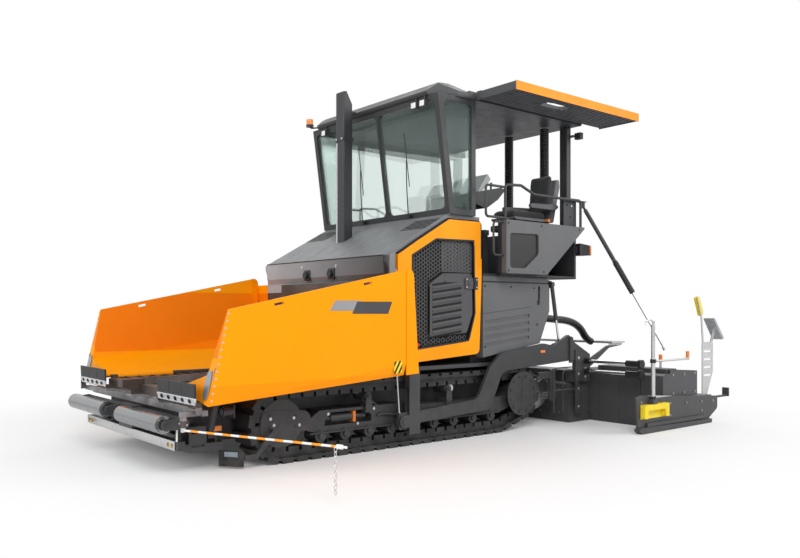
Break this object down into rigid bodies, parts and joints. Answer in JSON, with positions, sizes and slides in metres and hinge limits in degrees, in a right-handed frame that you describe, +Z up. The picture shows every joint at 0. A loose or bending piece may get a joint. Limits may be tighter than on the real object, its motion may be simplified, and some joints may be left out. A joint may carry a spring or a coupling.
{
  "type": "tracked asphalt paver",
  "caption": "Tracked asphalt paver with folding receiving hopper, canopied operator deck, towed sliding screed, augers and push rollers.",
  "frame": {"origin": "on the ground under the machine's centreline, a little ahead of the middle of the tracks' ground contact", "axes": "+X forward over the hopper, +Y the machine's left, +Z up"},
  "size_m": [7.089, 5.1832, 3.96],
  "materials": {
    "hopper_orange": "worn safety-orange paint",
    "body_grey": "dark grey paint, slightly dusty",
    "hood_grey": "grey paint",
    "frame_dark": "near-black paint, worn",
    "roof_grey": "moulded grey canopy",
    "track_steel": "worn, dusty track steel",
    "screed_grey": "grey paint, worn",
    "worn_steel": "bright worn steel",
    "rubber": "black rubber",
    "glass": "pale green glass",
    "seat_fabric": "black seat cloth",
    "seat_shell": "grey moulded shell",
    "chrome_rod": "chromed cylinder rod",
    "hose": "corrugated black hose"
  },
  "bodies": {
    "tractor": {"chassis": "frame_dark", "track_left": "track_steel", "track_right": "track_steel", "track_frames": "frame_dark", "hood": "hood_grey", "service_housing": "body_grey", "hopper_floor": "worn_steel", "conveyor_slats": "worn_steel", "hopper_cheeks": "hopper_orange", "engine_block": "frame_dark", "platform": "frame_dark", "seat_pedestals": "frame_dark", "windscreen_frame": "frame_dark", "windscreen_glass": "glass", "roof": "roof_grey", "roof_posts": "frame_dark", "exhaust_stack": "frame_dark", "extraction_hoses": "hose", "handrails": "frame_dark", "auger_supports": "frame_dark", "mudflaps": "rubber", "work_lamps": "frame_dark"},
    "wing_left": {"hopper_wing_left": "hopper_orange"},
    "wing_barrel_left": {"wing_cylinder_barrel_left": "frame_dark"},
    "wing_rod_left": {"wing_cylinder_rod_left": "chrome_rod"},
    "apron_left": {"apron_left": "rubber"},
    "door_left": {"engine_door_left": "body_grey"},
    "canopy_wing_left": {"canopy_wing_left": "roof_grey"},
    "seat_left": {"seat_shell_left": "seat_shell", "seat_cushion_left": "seat_fabric"},
    "auger_left": {"auger_left": "worn_steel"},
    "wing_right": {"hopper_wing_right": "hopper_orange"},
    "wing_barrel_right": {"wing_cylinder_barrel_right": "frame_dark"},
    "wing_rod_right": {"wing_cylinder_rod_right": "chrome_rod"},
    "apron_right": {"apron_right": "rubber"},
    "door_right": {"engine_door_right": "body_grey"},
    "canopy_wing_right": {"canopy_wing_right": "roof_grey"},
    "seat_right": {"seat_shell_right": "seat_shell", "seat_cushion_right": "seat_fabric"},
    "auger_right": {"auger_right": "worn_steel"},
    "console": {"console": "frame_dark"},
    "push_beam": {"push_beam": "frame_dark"},
    "push_roller_left": {"push_roller_left": "worn_steel"},
    "push_roller_right": {"push_roller_right": "worn_steel"},
    "steering_guide": {"steering_guide": "hopper_orange"},
    "screed": {"tow_arms": "frame_dark", "screed_main": "screed_grey"},
    "lift_barrel_left": {"lift_cylinder_barrel_left": "frame_dark"},
    "lift_rod_left": {"lift_cylinder_rod_left": "chrome_rod"},
    "extension_left": {"screed_extension_left": "screed_grey", "screed_controls_left": "screed_grey"},
    "end_gate_left": {"end_gate_left": "screed_grey"},
    "lift_barrel_right": {"lift_cylinder_barrel_right": "frame_dark"},
    "lift_rod_right": {"lift_cylinder_rod_right": "chrome_rod"},
    "extension_right": {"screed_extension_right": "screed_grey", "screed_controls_right": "screed_grey"},
    "end_gate_right": {"end_gate_right": "screed_grey"},
    "stay_tube_left": {"stay_tube_left": "frame_dark"},
    "stay_rod_left": {"stay_rod_left": "chrome_rod"}
  },
  "joints": [
    {"name": "wing_left_fold", "type": "hinge", "parent": "tractor", "child": "wing_left", "pos_m": [1.9, 0.832, 0.704], "axis": [1, 0, 0], "range_deg": [0, 60]},
    {"name": "wing_barrel_left_swing", "type": "hinge", "parent": "tractor", "child": "wing_barrel_left", "pos_m": [2.75, 1, 0.3], "axis": [1, 0, 0], "range_deg": [-0.5, 24.94]},
    {"name": "wing_rod_left_slide", "type": "slide", "parent": "wing_barrel_left", "child": "wing_rod_left", "axis": [0, 0.3824, 0.924], "range_m": [-0.002, 0.2664]},
    {"name": "apron_left_fold", "type": "hinge", "parent": "tractor", "child": "apron_left", "pos_m": [3.06, 1, 0.625], "axis": [0, 1, 0], "range_deg": [0, 70]},
    {"name": "door_left_hinge", "type": "hinge", "parent": "tractor", "child": "door_left", "pos_m": [0.802, 1.185, 1.4], "axis": [0, 0, -1], "range_deg": [0, 70]},
    {"name": "canopy_wing_left_fold", "type": "hinge", "parent": "tractor", "child": "canopy_wing_left", "pos_m": [-1.25, 1.224, 3.805], "axis": [1, 0, 0], "range_deg": [0, 165]},
    {"name": "seat_left_swivel", "type": "hinge", "parent": "tractor", "child": "seat_left", "pos_m": [-1.4, 0.98, 2.45], "axis": [0, 0, 1], "range_deg": [-20, 10]},
    {"name": "auger_left_spin", "type": "hinge", "parent": "tractor", "child": "auger_left", "pos_m": [-1.69, 0.63, 0.345], "axis": [0, 1, 0], "continuous": true},
    {"name": "wing_right_fold", "type": "hinge", "parent": "tractor", "child": "wing_right", "pos_m": [1.9, -0.832, 0.704], "axis": [-1, 0, 0], "range_deg": [0, 60]},
    {"name": "wing_barrel_right_swing", "type": "hinge", "parent": "tractor", "child": "wing_barrel_right", "pos_m": [2.75, -1, 0.3], "axis": [-1, 0, 0], "range_deg": [-0.5, 24.94]},
    {"name": "wing_rod_right_slide", "type": "slide", "parent": "wing_barrel_right", "child": "wing_rod_right", "axis": [0, -0.3824, 0.924], "range_m": [-0.002, 0.2664]},
    {"name": "apron_right_fold", "type": "hinge", "parent": "tractor", "child": "apron_right", "pos_m": [3.06, -1, 0.625], "axis": [0, 1, 0], "range_deg": [0, 70]},
    {"name": "door_right_hinge", "type": "hinge", "parent": "tractor", "child": "door_right", "pos_m": [0.802, -1.185, 1.4], "axis": [0, 0, 1], "range_deg": [0, 70]},
    {"name": "canopy_wing_right_fold", "type": "hinge", "parent": "tractor", "child": "canopy_wing_right", "pos_m": [-1.25, -1.224, 3.805], "axis": [-1, 0, 0], "range_deg": [0, 165]},
    {"name": "seat_right_swivel", "type": "hinge", "parent": "tractor", "child": "seat_right", "pos_m": [-1.4, -0.98, 2.45], "axis": [0, 0, -1], "range_deg": [-20, 10]},
    {"name": "auger_right_spin", "type": "hinge", "parent": "tractor", "child": "auger_right", "pos_m": [-1.69, -0.63, 0.345], "axis": [0, 1, 0], "continuous": true},
    {"name": "console_slide", "type": "slide", "parent": "tractor", "child": "console", "axis": [0, 1, 0], "range_m": [-0.9, 0.15]},
    {"name": "push_beam_swivel", "type": "hinge", "parent": "tractor", "child": "push_beam", "pos_m": [2.996, 0, 0.4], "axis": [0, 0, 1], "range_deg": [-3, 3]},
    {"name": "push_roller_left_spin", "type": "hinge", "parent": "push_beam", "child": "push_roller_left", "pos_m": [3.224, 0.66, 0.445], "axis": [0, 1, 0], "continuous": true},
    {"name": "push_roller_right_spin", "type": "hinge", "parent": "push_beam", "child": "push_roller_right", "pos_m": [3.224, -0.66, 0.445], "axis": [0, 1, 0], "continuous": true},
    {"name": "steering_guide_swing", "type": "hinge", "parent": "tractor", "child": "steering_guide", "pos_m": [3.158, 1.363, 0.425], "axis": [0, 0, 1], "range_deg": [0, 65]},
    {"name": "screed_lift", "type": "hinge", "parent": "tractor", "child": "screed", "pos_m": [0.76, 0, 0.265], "axis": [0, 1, 0], "range_deg": [0, 8]},
    {"name": "lift_barrel_left_swing", "type": "hinge", "parent": "tractor", "child": "lift_barrel_left", "pos_m": [-1.64, 1.185, 1.7], "axis": [0, 1, 0], "range_deg": [-4.21, 0.5]},
    {"name": "lift_rod_left_slide", "type": "slide", "parent": "lift_barrel_left", "child": "lift_rod_left", "axis": [-0.1871, 0, -0.9823], "range_m": [-0.3648, 0.002]},
    {"name": "extension_left_slide", "type": "slide", "parent": "screed", "child": "extension_left", "axis": [0, 1, 0], "range_m": [-0.9, 0]},
    {"name": "end_gate_left_height", "type": "slide", "parent": "extension_left", "child": "end_gate_left", "axis": [0, 0, 1], "range_m": [0, 0.12]},
    {"name": "lift_barrel_right_swing", "type": "hinge", "parent": "tractor", "child": "lift_barrel_right", "pos_m": [-1.64, -1.185, 1.7], "axis": [0, 1, 0], "range_deg": [-4.21, 0.5]},
    {"name": "lift_rod_right_slide", "type": "slide", "parent": "lift_barrel_right", "child": "lift_rod_right", "axis": [-0.1871, 0, -0.9823], "range_m": [-0.3648, 0.002]},
    {"name": "extension_right_slide", "type": "slide", "parent": "screed", "child": "extension_right", "axis": [0, -1, 0], "range_m": [-0.9, 0]},
    {"name": "end_gate_right_height", "type": "slide", "parent": "extension_right", "child": "end_gate_right", "axis": [0, 0, 1], "range_m": [0, 0.12]},
    {"name": "stay_tube_left_swing", "type": "hinge", "parent": "tractor", "child": "stay_tube_left", "pos_m": [-2.09, 1.296, 2.69], "axis": [0.7041, 0.7101, 0], "range_deg": [-0.5, 6.24]},
    {"name": "stay_rod_left_slide", "type": "slide", "parent": "stay_tube_left", "child": "stay_rod_left", "axis": [-0.347, 0.3441, -0.8725], "range_m": [-0.4634, 0.002]}
  ],
  "couplings": [
    {"joint": "wing_barrel_left_swing", "follows": "wing_left_fold", "ratio": 0.39905},
    {"joint": "wing_rod_left_slide", "follows": "wing_left_fold", "m_per_rad": 0.25251},
    {"joint": "wing_barrel_right_swing", "follows": "wing_right_fold", "ratio": 0.39905},
    {"joint": "wing_rod_right_slide", "follows": "wing_right_fold", "m_per_rad": 0.25251},
    {"joint": "lift_barrel_left_swing", "follows": "screed_lift", "ratio": -0.46415},
    {"joint": "lift_rod_left_slide", "follows": "screed_lift", "m_per_rad": -2.5984},
    {"joint": "lift_barrel_right_swing", "follows": "screed_lift", "ratio": -0.46415},
    {"joint": "lift_rod_right_slide", "follows": "screed_lift", "m_per_rad": -2.5984},
    {"joint": "stay_tube_left_swing", "follows": "screed_lift", "ratio": 0.71785},
    {"joint": "stay_rod_left_slide", "follows": "screed_lift", "m_per_rad": -3.3046}
  ]
}
